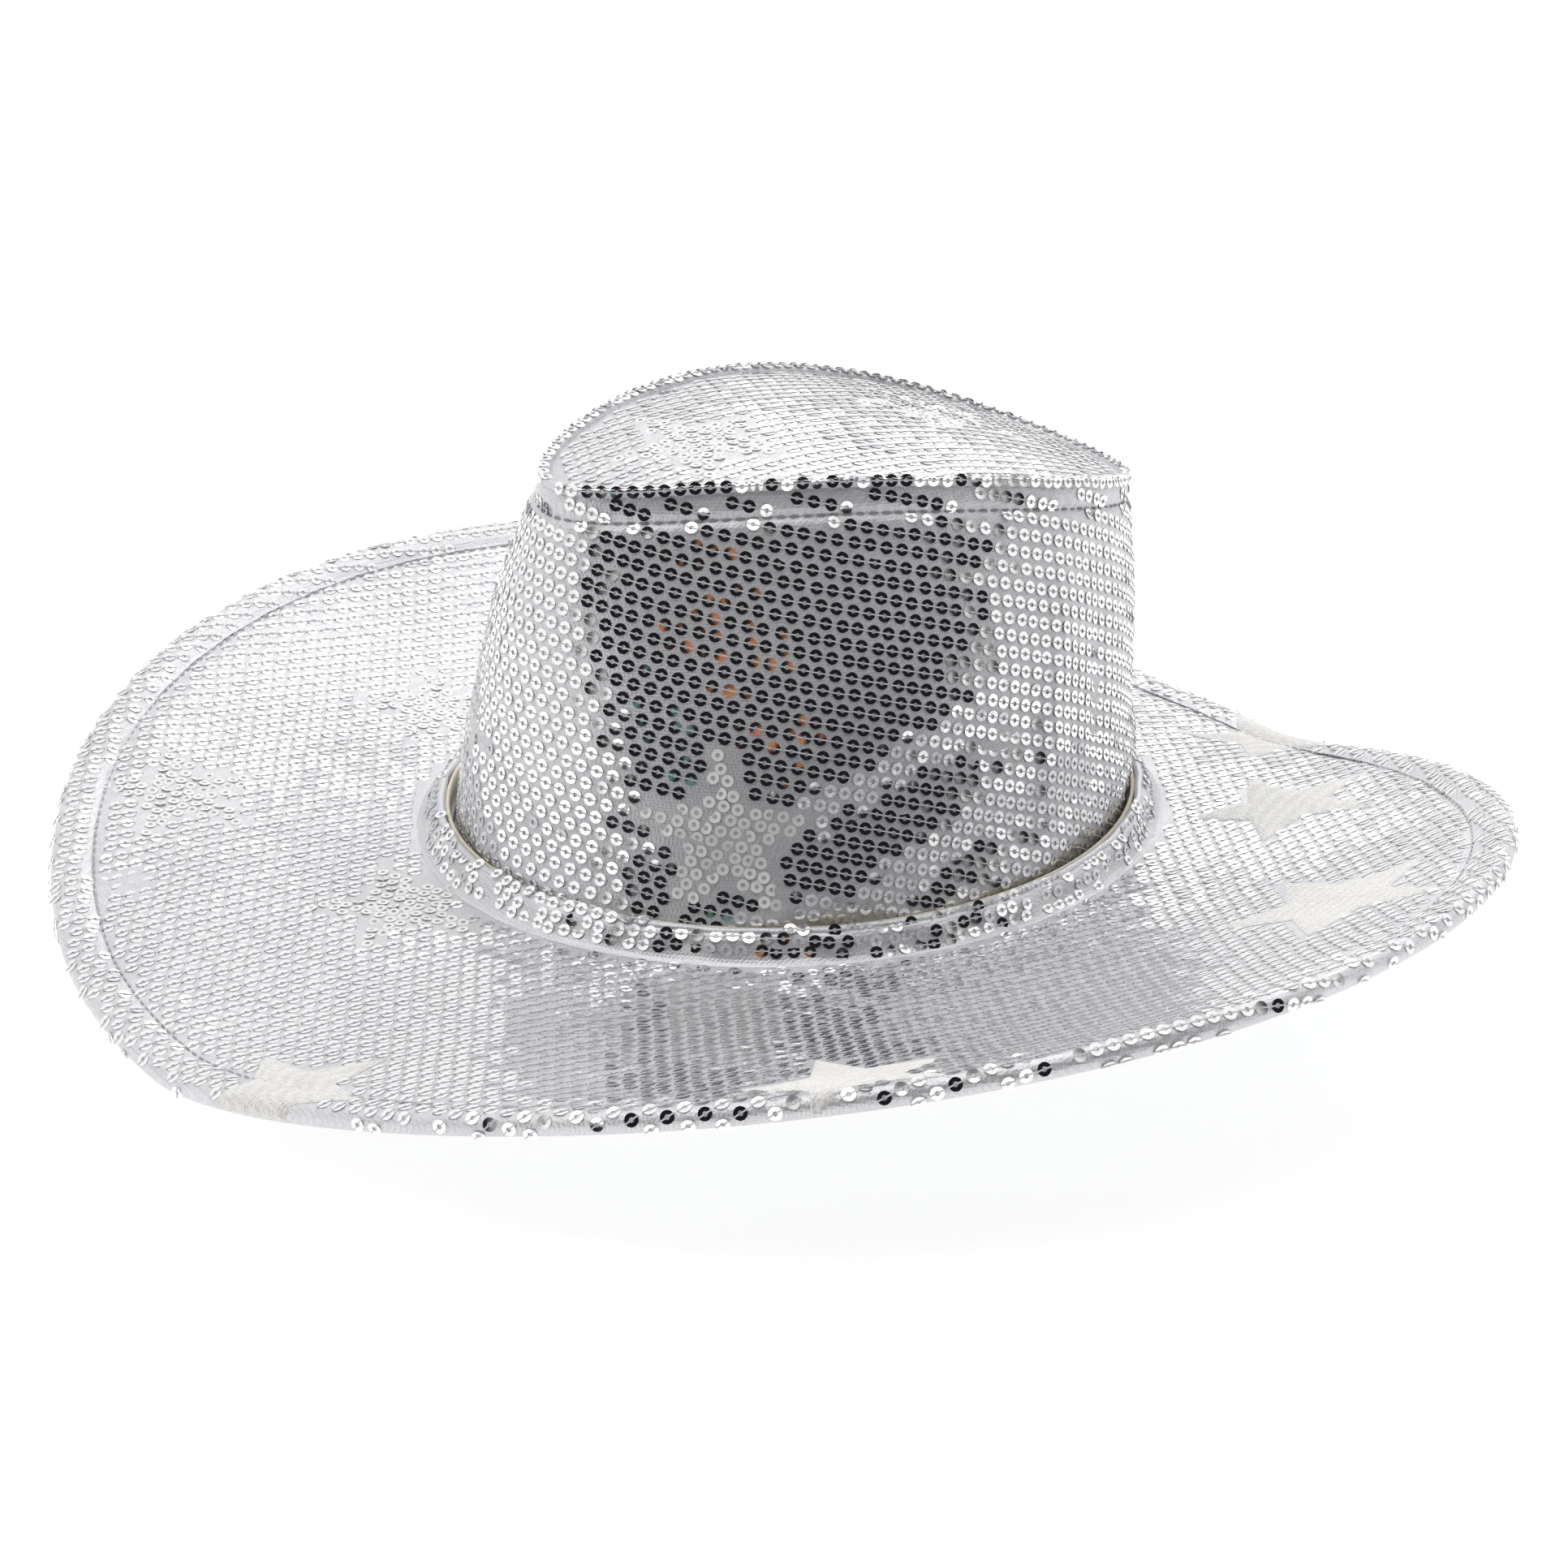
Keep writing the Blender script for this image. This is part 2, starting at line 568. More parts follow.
@dataclass
class Bench:
    """Turns grids of points into pieces that ride on the hat."""

    origin: np.ndarray

    @classmethod
    def from_frame(cls, shape: HatShape) -> "Bench":
        """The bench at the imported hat's own place."""
        low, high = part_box("collar_binding_tape")
        level = low.z - (shape.ring_height + shape.brim_top + shape.gap) * MM
        return cls(np.array([(low.x + high.x) / 2, (low.y + high.y) / 2, level]))

    def metres(self, points: np.ndarray) -> np.ndarray:
        """Points in the frame, in metres."""
        return points * MM + self.origin

    def piece(self, name: str, points: np.ndarray, quads: np.ndarray, finish: Finish, slot: str,
              rounded: bool = True) -> bpy.types.Object:
        """A mesh piece that rides on the hat.

        Args:
            name: the piece's name.
            points: its points, (n, 3), in mm.
            quads: its faces, (m, 4).
            finish: its finish.
            slot: the record's material slot.
            rounded: whether its faces are shaded smooth.

        Returns:
            The object.
        """
        flat = points.reshape(-1, 3)
        corner = flat[quads]
        volume = (np.einsum("ij,ij->i", corner[:, 0], np.cross(corner[:, 1], corner[:, 2]))
                  + np.einsum("ij,ij->i", corner[:, 0], np.cross(corner[:, 2], corner[:, 3]))).sum()
        if volume < 0:
            quads = quads[:, ::-1]
        mesh = bpy.data.meshes.new(name)
        mesh.vertices.add(len(flat))
        mesh.vertices.foreach_set("co", self.metres(flat).astype(np.float32).ravel())
        mesh.loops.add(quads.size)
        mesh.loops.foreach_set("vertex_index", np.ascontiguousarray(quads, np.int32).ravel())
        mesh.polygons.add(len(quads))
        mesh.polygons.foreach_set("loop_start", np.arange(0, quads.size, 4, dtype=np.int32))
        mesh.update(calc_edges=True)
        mesh.validate()
        if rounded:
            mesh.shade_smooth()
            mesh.set_sharp_from_angle(angle=SHARP)
        else:
            mesh.shade_flat()
        mesh.materials.append(finish.material())
        made = bpy.data.objects.new(name, mesh)
        bpy.context.scene.collection.objects.link(made)
        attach(made, BODY)
        log.info("%s: %d faces", name, len(quads))
        return made

    def ring(self, name: str, profiles: np.ndarray, finish: Finish, slot: str) -> bpy.types.Object:
        """A band that goes once round the hat.

        Args:
            name: the piece's name.
            profiles: closed profiles, (stations, points, 3), in mm.
            finish: its finish.
            slot: the record's material slot.

        Returns:
            The object.
        """
        around, across = profiles.shape[:2]
        row, column = np.meshgrid(np.arange(around), np.arange(across), indexing="ij")
        next_row, next_column = (row + 1) % around, (column + 1) % across
        quads = np.stack([row * across + column, next_row * across + column,
                          next_row * across + next_column, row * across + next_column], -1).reshape(-1, 4)
        return self.piece(name, profiles, quads, finish, slot)

    def disc(self, name: str, upper: np.ndarray, lower: np.ndarray, finish: Finish,
             slot: str) -> bpy.types.Object:
        """A thin layer with an outline and a middle.

        Args:
            name: the piece's name.
            upper: its upper face, (stations, steps, 3), each row from the middle out.
            lower: its lower face, the same way.
            finish: its finish.
            slot: the record's material slot.

        Returns:
            The object.
        """
        made = self.ring(name, np.concatenate([upper, lower[:, ::-1]], axis=1), finish, slot)
        sewn = bmesh.new()
        sewn.from_mesh(made.data)
        bmesh.ops.remove_doubles(sewn, verts=sewn.verts, dist=2e-6)
        bmesh.ops.recalc_face_normals(sewn, faces=sewn.faces)
        sewn.to_mesh(made.data)
        sewn.free()
        return made


def skin_frame(skin: Skin, u: np.ndarray, v: np.ndarray, direction: float) -> tuple:
    """The place, outward direction and row direction at spots on a skin.

    Args:
        skin: the skin.
        u: first flat coordinate, mm.
        v: second flat coordinate, mm.
        direction: angle of the rows in the flat, radians.

    Returns:
        Places, normals and directions along the rows.
    """
    step_u = skin(u + STEP, v) - skin(u - STEP, v)
    step_v = skin(u, v + STEP) - skin(u, v - STEP)
    normal = unit(np.cross(step_u, step_v))
    along = unit(step_u * math.cos(direction) + step_v * math.sin(direction))
    along = unit(along - normal * (along * normal).sum(-1, keepdims=True))
    return skin(u, v), normal, along


# ---------------------------------------------------------------- stars

@dataclass
class Star:
    """A five-pointed star woven into the cloth, on one skin's flat."""

    u: float
    v: float
    radius: float
    turn: float             # degrees of one point, from the first flat direction
    name: str = "star"
    cream: bool = True      # woven in cream, or in the cloth's own silver
    waist: float = 0.44     # inner corners, as a share of the radius

    def reach(self, bearing: np.ndarray) -> np.ndarray:
        """Distance from the middle to the outline at a bearing."""
        folded = (bearing - math.radians(self.turn)) % math.radians(72)
        folded = np.minimum(folded, math.radians(72) - folded)
        point = np.array([self.radius, 0.0])
        inner = self.radius * self.waist * np.array([math.cos(math.radians(36)), math.sin(math.radians(36))])
        side = inner - point
        cross = point[0] * inner[1] - point[1] * inner[0]
        return cross / (np.cos(folded) * side[1] - np.sin(folded) * side[0])

    def holds(self, u: np.ndarray, v: np.ndarray, margin: float) -> np.ndarray:
        """Whether spots lie inside the outline grown by a margin."""
        du, dv = u - self.u, v - self.v
        return np.hypot(du, dv) < self.reach(np.arctan2(dv, du)) + margin

    def flat_area(self) -> float:
        """Area of the whole star, mm2."""
        return 5 * self.radius ** 2 * self.waist * math.sin(math.radians(36))

    def outline(self) -> np.ndarray:
        """Offsets of the outline from the middle, eight steps to each side."""
        bearings = math.radians(self.turn) + np.radians(36) * np.arange(10)
        reach = np.where(np.arange(10) % 2 == 0, self.radius, self.radius * self.waist)
        corners = np.stack([reach * np.cos(bearings), reach * np.sin(bearings)], -1)
        share = np.linspace(0, 1, 8, endpoint=False)[:, None]
        return np.concatenate([start * (1 - share) + end * share
                               for start, end in zip(corners, np.roll(corners, -1, axis=0))])


# ---------------------------------------------------------------- sequins

@dataclass
class SequinKind:
    """One size of ring sequin and how it is sewn on."""

    finish: Finish
    outer: float = 1.7
    inner: float = 0.64
    thickness: float = 0.12
    dish: float = 0.012
    pitch: float = 4.1
    row_gap: float = 4.35
    slant: float = 0.42         # shift from one row to the next, in pitches
    wander: float = 0.11        # unevenness of places, mm
    tilt: float = 2.2           # random lean, degrees
    lean: float = 0.0           # lean of every ring across its row, degrees
    threads: bool = True
    segments: int = 12


STAR_RING = SequinKind(STAR_SEQUIN, outer=1.6, inner=0.62, pitch=3.75, row_gap=3.3, tilt=6.0, wander=0.3,
                       slant=0.5, threads=False)


@dataclass
class SequinSewer:
    """Lays ring sequins and their threads on a skin."""

    bench: Bench
    seed: int = 7
    most_in_piece: int = 1900

    def lattice(self, kind: SequinKind, span_u: tuple[float, float], span_v: tuple[float, float],
                direction: float, rng: np.random.Generator) -> tuple[np.ndarray, np.ndarray]:
        """Spots of a slanted lattice whose rows run in one direction.

        Args:
            kind: the sequin.
            span_u: limits of the first flat coordinate, mm.
            span_v: limits of the second.
            direction: angle of the rows, radians.
            rng: the source of unevenness.

        Returns:
            The two flat coordinates of every spot.
        """
        reach = math.hypot(max(map(abs, span_u)), max(map(abs, span_v)))
        rows = np.arange(-int(reach / kind.row_gap) - 1, int(reach / kind.row_gap) + 2)
        spots = np.arange(-int(reach / kind.pitch) - 1, int(reach / kind.pitch) + 2)
        row, spot = np.meshgrid(rows, spots, indexing="ij")
        loose = rng.uniform(-0.07, 0.07, len(rows))[:, None]
        along = (spot + (row * kind.slant) % 1 + loose) * kind.pitch
        across = row * kind.row_gap
        along = along + rng.normal(0, kind.wander, along.shape)
        across = across + rng.normal(0, kind.wander * 0.6, along.shape)
        u = along * math.cos(direction) - across * math.sin(direction)
        v = along * math.sin(direction) + across * math.cos(direction)
        kept = (u > span_u[0]) & (u < span_u[1]) & (v > span_v[0]) & (v < span_v[1])
        return u[kept], v[kept]

    def sew(self, name: str, kind: SequinKind, skin: Skin, u: np.ndarray, v: np.ndarray, direction: float,
            lift: float = 0.16) -> list[bpy.types.Object]:
        """Sews one ring at every spot.

        Args:
            name: name of the pieces, which get a number.
            kind: the sequin.
            skin: the skin that they lie on.
            u: first flat coordinate of the spots, mm.
            v: second flat coordinate.
            direction: angle of the rows in the flat, radians.
            lift: mm from the skin to the rings' middle.

        Returns:
            The pieces, rings first and then threads.
        """
        rng = np.random.default_rng(self.seed + sum(map(ord, name)))
        place, normal, along = skin_frame(skin, u, v, direction)
        across = np.cross(normal, along)
        bend = np.radians(rng.normal(0, kind.tilt, (2, len(u))))
        slow = np.radians(2.0) * np.stack([np.sin(u / 17 + 2) * np.sin(v / 23),
                                           np.sin(u / 21) * np.sin(v / 13 + 1)])
        lean_along, lean_across = bend + slow + np.array([[0.0], [math.radians(kind.lean)]])
        face = unit(normal + along * np.tan(lean_along)[:, None] + across * np.tan(lean_across)[:, None])
        first = unit(along - face * (along * face).sum(-1, keepdims=True))
        second = np.cross(face, first)
        middle = place + normal * (lift + kind.outer * abs(math.sin(math.radians(kind.lean))) * 0.6)
        made = []
        for part, start in enumerate(range(0, len(u), self.most_in_piece), start=1):
            few = slice(start, start + self.most_in_piece)
            made.append(self.rings(f"{name}_{part}", kind, middle[few], face[few], first[few], second[few]))
        if kind.threads and len(u):
            made.append(self.thread_bars(name + "_threads", kind, middle, face, first, second))
        return made

    def fill_stars(self, name: str, stars: list[Star], skin: Skin, direction: float,
                   allowed: Callable[[np.ndarray, np.ndarray], np.ndarray],
                   rng: np.random.Generator) -> list[bpy.types.Object]:
        """Fills stars with small matte rings.

        Args:
            name: name of the pieces.
            stars: the stars.
            skin: the skin that they lie on.
            direction: angle of the rows, radians.
            allowed: whether spots of the flat may have a ring.
            rng: the source of unevenness.

        Returns:
            The pieces.
        """
        spots = [self.lattice(STAR_RING, (star.u - STAR_FIELD, star.u + STAR_FIELD),
                              (star.v - STAR_FIELD, star.v + STAR_FIELD), direction, rng) for star in stars]
        inside = [star.holds(a, b, -1.3) & allowed(a, b) for star, (a, b) in zip(stars, spots)]
        u = np.concatenate([a[held] for (a, _), held in zip(spots, inside)])
        v = np.concatenate([b[held] for (_, b), held in zip(spots, inside)])
        return self.sew(name, STAR_RING, skin, u, v, direction, 0.2)

    def rings(self, name: str, kind: SequinKind, middle: np.ndarray, face: np.ndarray, first: np.ndarray,
              second: np.ndarray) -> bpy.types.Object:
        """Flat rings, each a closed washer with a slight dish."""
        bend = turns(kind.segments)[None, :, None, None]
        profile = np.array([(kind.inner, -kind.dish), (kind.outer, kind.dish),
                            (kind.outer, kind.dish - kind.thickness),
                            (kind.inner, -kind.dish - kind.thickness)])
        radius, height = profile[:, 0][None, None, :, None], profile[:, 1][None, None, :, None]
        points = (middle[:, None, None] + radius * (np.cos(bend) * first[:, None, None]
                  + np.sin(bend) * second[:, None, None]) + height * face[:, None, None])
        quads = tube_quads(len(middle), kind.segments, len(profile), closed=True)
        return self.bench.piece(name, points, quads, kind.finish, "sequin_cloth", rounded=False)

    def thread_bars(self, name: str, kind: SequinKind, middle: np.ndarray, face: np.ndarray,
                    first: np.ndarray, second: np.ndarray) -> bpy.types.Object:
        """The two short threads that hold each ring down, one on each side of its hole."""
        half_width, rise, overhang = 0.17, 0.11, 0.3
        ends = np.array([kind.inner * 0.5, kind.outer + overhang])
        corners = np.array([(end * side, across, height)
                            for side in (1, -1) for end in ends
                            for across, height in ((-half_width, -rise), (half_width, -rise),
                                                   (half_width, rise), (-half_width, rise))])
        points = (middle[:, None] + corners[:, 0][None, :, None] * first[:, None]
                  + corners[:, 1][None, :, None] * second[:, None]
                  + corners[:, 2][None, :, None] * face[:, None])
        bar = [(0, 1, 2, 3), (4, 7, 6, 5), (0, 4, 5, 1), (1, 5, 6, 2), (2, 6, 7, 3), (3, 7, 4, 0)]
        both = np.array(bar + [tuple(8 + corner for corner in reversed(quad)) for quad in bar])
        quads = (np.arange(len(middle))[:, None, None] * 16 + both[None]).reshape(-1, 4)
        return self.bench.piece(name, points, quads, THREAD, "thread", rounded=False)


@dataclass
class Stitcher:
    """Sews rows of single stitches along a line."""

    bench: Bench
    length: float = 2.6
    space: float = 0.9
    thick: float = 0.5

    def row(self, name: str, line: Callable[[np.ndarray], np.ndarray], outward: np.ndarray,
            finish: Finish = STITCH_THREAD) -> bpy.types.Object:
        """A closed row of stitches.

        Args:
            name: the piece's name.
            line: the row's points, in mm, from angles round the hat.
            outward: direction away from the cloth, at 2,880 angles.
            finish: the thread's finish.

        Returns:
            The object.
        """
        angle = turns(len(outward))
        path = line(angle)
        run = run_length(path, closed=True)
        count = int(run[-1] / (self.length + self.space))
        start = np.arange(count) * run[-1] / count
        share = np.linspace(0, 1, 6)
        spots = (start[:, None] + share[None] * self.length) % run[-1]
        closed = np.concatenate([path, path[:1]])
        away = np.concatenate([outward, outward[:1]])
        middle = np.stack([np.interp(spots, run, closed[:, axis]) for axis in range(3)], -1)
        normal = unit(np.stack([np.interp(spots, run, away[:, axis]) for axis in range(3)], -1))
        along = unit(middle[:, -1:] - middle[:, :1])
        side = np.cross(along, normal)
        fat = self.thick / 2 * np.sqrt(np.clip(1 - (2 * share - 1) ** 4, 0.05, 1))
        sink = -0.35 * (2 * share - 1) ** 4 * self.thick
        bend = turns(6)
        points = (middle[:, :, None] + normal[:, :, None] * sink[None, :, None, None]
                  + fat[None, :, None, None] * (np.cos(bend)[None, None, :, None] * side[:, :, None]
                                                + np.sin(bend)[None, None, :, None] * normal[:, :, None]))
        tube = tube_quads(count, len(share), len(bend), closed=False)
        first = np.arange(count)[:, None] * len(share) * len(bend)
        caps = [first + np.array(cap)
                for cap in ((3, 2, 1, 0), (5, 4, 3, 0), (30, 31, 32, 33), (30, 33, 34, 35))]
        return self.bench.piece(name, points, np.concatenate([tube, *caps]), finish, "thread")


# ---------------------------------------------------------------- sub-assemblies

def band(outer: np.ndarray, inner: np.ndarray) -> np.ndarray:
    """Closed profiles from an outer line and an inner line, each (stations, points, 3)."""
    return np.concatenate([outer, inner[:, ::-1]], axis=1)


@dataclass
class Brim:
    """The brim: top cloth, under cloth, hem, stitches, stars and sequins."""

    shape: HatShape
    bench: Bench
    sewer: SequinSewer
    stations: int = 480
    row_direction: float = math.radians(80)     # the rows run nearly front to back
    collar_room: float = 7.4    # from the collar's top edge to the first sequins
    stitch_room: float = 1.15   # from the stitch row to the sequins beside it
    hem_face: float = 10.4      # face of the hem, where every sequin is kept
    nose_share: float = 0.62    # share of the sequins kept round the hem's nose
    stars: list[Star] = field(default_factory=lambda: [
        Star(84, 107, 27, 90, "star_back_left"), Star(160, 56, 31, 90, "star_left"),
        Star(179, -106, 27, 90, "star_front_left"), Star(72, -195, 28, 90, "star_front"),
        Star(-4, -121, 27, 90, "star_front_middle", cream=False),
        Star(-105, -53, 26, 90, "star_right", cream=False),
        Star(29, 150, 26, 90, "star_back"), Star(-76, 112, 27, 90, "star_back_right"),
        Star(-152, 34, 27, 90, "star_far_right"), Star(-92, -142, 27, 90, "star_front_right", cream=False)])

    def build(self) -> None:
        """Builds every piece of the brim."""
        shape = self.shape
        theta = turns(self.stations)[:, None]
        inner = shape.opening_radius(theta, shape.tuck - shape.gutter)
        outer = shape.edge_radius(theta) - shape.layer_inset
        radii = inner + (outer - inner) * np.linspace(0, 1, 46)[None]
        wide = np.broadcast_to(theta, radii.shape)
        relief = shape.brim_relief(wide, radii)
        top = self.bench.ring("brim_top_cloth", band(
            shape.brim(wide, radii, shape.brim_top + relief),
            shape.brim(wide, radii, shape.brim_top - shape.cloth)), SILVER_KNIT, "sequin_cloth")
        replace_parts(top, "brim_top_fabric")
        under = self.bench.ring("brim_under_cloth", band(
            shape.brim(wide, radii, shape.under_cloth), shape.brim(wide, radii, 0.0)),
            UNDER_KNIT, "under_knit")
        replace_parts(under, "brim_under_fabric")
        hem = self.hem(theta)
        stitches = self.topstitch()
        cream = [star for star in self.stars if star.cream]
        patches = [self.patch(star) for star in cream]
        rings = self.sequins()
        area = float((shape.edge_radius(theta) ** 2 - inner ** 2).mean() * np.pi) * MM ** 2
        for patch, star in zip(patches, cream):
            star.flat_area() * MM ** 2

    def hem(self, theta: np.ndarray) -> bpy.types.Object:
        """The cloth turned over the brim's edge."""
        shape = self.shape
        flat = shape.hem_width - shape.nose_radius
        bend = np.pi * shape.nose_radius
        along = np.concatenate([np.linspace(0, flat, 12), flat + np.linspace(0.06, 1, 14) * bend,
                                flat + bend + np.linspace(0.2, 1, 5) * flat * 0.98])[None]
        wide = np.broadcast_to(theta, (len(theta), along.shape[1]))
        thick = shape.hem_cloth * np.clip(along / 1.2, 0.25, 1)
        made = self.bench.ring("brim_hem_cloth", band(
            shape.hem_profile(wide, along + 0 * wide, 0.0),
            shape.hem_profile(wide, along + 0 * wide, -thick)), SILVER_KNIT, "sequin_cloth")
        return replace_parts(made, "brim_edge_hem")

    def topstitch(self) -> bpy.types.Object:
        """The stitch row along the hem."""
        shape = self.shape

        def line(theta: np.ndarray) -> np.ndarray:
            return shape.brim(theta, shape.stitch_radius(theta), shape.brim_top + 0.15)
        theta = turns(FINE)
        beside = shape.stitch_radius(theta) - 3
        _, normal, _ = skin_frame(shape.brim_skin, beside * np.sin(theta), -beside * np.cos(theta), 0)
        made = Stitcher(self.bench).row("brim_topstitch", line, normal, finish=HEM_THREAD)
        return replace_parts(made, "brim_edge_topstitch")

    def flat_limit(self, u: np.ndarray, v: np.ndarray) -> np.ndarray:
        """How far inside the hem's wrapped edge a flat spot lies."""
        return self.shape.edge_radius(np.arctan2(u, -v)) + 3.2 - np.hypot(u, v)

    def patch(self, star: Star) -> bpy.types.Object:
        """A cream star patch, cut off where the cloth turns under."""
        outline = star.outline()
        shares = np.linspace(0, 1, 81)
        reach = outline[None] * shares[:, None, None]
        inside = self.flat_limit(star.u + reach[..., 0], star.v + reach[..., 1]) > 0
        kept = outline * (shares[np.cumprod(inside, axis=0).sum(0) - 1])[:, None]
        share = np.linspace(0, 1, 25)[None, :]
        u = star.u + kept[:, 0:1] * share
        v = star.v + kept[:, 1:2] * share
        place, normal, _ = skin_frame(self.shape.brim_skin, u, v, 0.0)
        plump = 0.1 + 0.5 * np.sqrt(np.clip(1 - share ** 4, 0, 1))[..., None]
        nap = 0.09 * (np.sin(u * 3.1 + 2 * v) * np.sin(v * 2.7 - u))[..., None] * (plump > 0.2)
        return self.bench.disc(f"brim_{star.name}", place + normal * (plump + nap), place + normal * 0.04,
                               STAR_KNIT, "sequin_cloth")

    def sequins(self) -> list[bpy.types.Object]:
        """The sequins of the brim and of its stars."""
        shape = self.shape
        plain = SequinKind(SEQUIN, lean=-7.5, tilt=1.8, pitch=4.25, row_gap=4.6)
        rng = np.random.default_rng(11)
        u, v = self.sewer.lattice(plain, (-200, 240), (-220, 175), self.row_direction, rng)
        theta, radius = np.arctan2(u, -v), np.hypot(u, v)
        inward = shape.stitch_radius(theta) - radius
        kept = (radius > shape.opening_radius(theta, self.collar_room)) & (self.flat_limit(u, v) > 0)
        kept &= np.abs(inward) > self.stitch_room
        kept &= (inward > -self.hem_face) | (rng.uniform(size=len(u)) < self.nose_share)
        for star in self.stars:
            kept &= ~star.holds(u, v, STAR_MARGIN)
        made = self.sewer.sew("brim_sequins", plain, shape.brim_skin, u[kept], v[kept], self.row_direction)
        silver = [star for star in self.stars if not star.cream]
        return made + self.sewer.fill_stars("brim_star_sequins", silver, shape.brim_skin, self.row_direction,
                                            lambda a, b: self.flat_limit(a, b) > 1.0, rng)


@dataclass
class Collar:
    """The stand-up rim round the head opening: cloth, tape and sequins."""

    shape: HatShape
    bench: Bench
    sewer: SequinSewer
    stations: int = 360
    foot: float = 5.2
    height: float = 8.4
    width: float = 2.4

    def outline(self) -> np.ndarray:
        """Outer face of the cloth, (offset, height) from the foot over the rim to the inside."""
        rim = self.width / 2
        bends = np.radians(np.linspace(0, 180, 9))
        face = np.array([(self.foot + 0.3, 0.05), (self.foot - 0.8, 0.6), (self.foot - 1.8, 1.7),
                         (self.foot - 2.7, 3.2), (1.9, 4.9), (1.0, 6.4)])
        over = np.stack([-rim + rim * np.cos(bends), self.height - 1.3 + 1.2 * np.sin(bends)], -1)
        inside = np.array([(-self.width, 4.5), (-self.width, 0.2)])
        return np.concatenate([face, over, inside])

    def place(self, theta: np.ndarray, offset: np.ndarray, above: np.ndarray) -> np.ndarray:
        """Points of the collar from offsets outside the rim and heights over the brim."""
        shape = self.shape
        return shape.brim(theta, shape.opening_radius(theta, offset), shape.brim_top + above)

    def puff(self, theta: np.ndarray, above: np.ndarray) -> np.ndarray:
        """Soft gathers of the collar's cloth, mm outward."""
        gathers = 0.35 * np.sin(23 * theta + above / 3) + 0.25 * np.sin(41 * theta + 1)
        return gathers * hump(above - 4.5, 4.0)

    def build(self) -> None:
        """Builds every piece of the collar."""
        outline = self.outline()
        theta = turns(self.stations)[:, None]
        offset, above = outline[None, :, 0] + 0 * theta, outline[None, :, 1] + 0 * theta
        slope = np.gradient(outline, axis=0)
        inward = unit(np.stack([slope[:, 1], -slope[:, 0]], -1))
        thin = outline - inward * np.where(np.arange(len(outline)) < 2, 0.12, 0.6)[:, None]
        puffed = self.puff(theta, above)
        cloth = self.bench.ring("collar_cloth", band(
            self.place(theta, offset + puffed, above),
            self.place(theta, thin[None, :, 0] + 0 * theta, thin[None, :, 1] + 0 * theta)), SILVER_KNIT,
            "sequin_cloth")
        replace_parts(cloth, "brim_collar_fabric")
        rings = self.sequins()
        self.tape()

    def skin(self, u: np.ndarray, v: np.ndarray) -> np.ndarray:
        """The collar's outer face laid out flat: mm round and mm up from the foot."""
        outline = self.outline()
        run = run_length(outline)
        theta = u / (self.shape.half_length / 2 + self.shape.half_width / 2)
        offset, above = np.interp(v, run, outline[:, 0]), np.interp(v, run, outline[:, 1])
        return self.place(theta, offset + self.puff(theta, above), above)

    def sequins(self) -> list[bpy.types.Object]:
        """Three to four uneven rows of sequins on the collar."""
        plain = SequinKind(SEQUIN, tilt=4.0, wander=0.3, slant=0.3, pitch=4.2, row_gap=3.3)
        rng = np.random.default_rng(23)
        length = 2 * np.pi * (self.shape.half_length / 2 + self.shape.half_width / 2)
        u, v = self.sewer.lattice(plain, (0, length), (-1.0, 13.5), 0.0, rng)
        drift = (v + 1.1 * np.sin(u / 37) + 0.8 * np.sin(u / 13 + 2))
        kept = (drift > 1.7) & (drift < 10.8) & (rng.uniform(size=len(u)) < 0.93)
        return self.sewer.sew("collar_sequins", plain, self.skin, u[kept], drift[kept], 0.0, 0.18)

    def tape(self) -> None:
        """The beige tape inside the collar, its upper edge folded down."""
        shape = self.shape
        theta = turns(self.stations)[:, None]
        low = 0.15
        thick, bend_radius, turned_down = 0.35, 0.55, 2.4
        fold = self.height * 0.84
        heights = np.linspace(low, fold, 7)
        bends = np.radians(np.linspace(0, 180, 7))
        down = np.linspace(fold, fold - turned_down, 3)
        middle = -self.width - 0.12 - bend_radius

        def face(radius: float) -> np.ndarray:
            return np.concatenate([
                np.stack([np.full(7, middle + radius), heights], -1),
                np.stack([middle + radius * np.cos(bends), fold + radius * np.sin(bends)], -1)[1:-1],
                np.stack([np.full(3, middle - radius), down], -1)])
        section = np.concatenate([face(bend_radius), face(bend_radius - thick)[::-1]])
        offset, above = section[:, 0], section[:, 1]
        points = shape.oval(theta, offset, shape.ring_height + shape.brim_top + above)
        made = self.bench.ring("collar_tape", points, BEIGE_BAND, "beige_band")
        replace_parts(made, "collar_binding_tape")


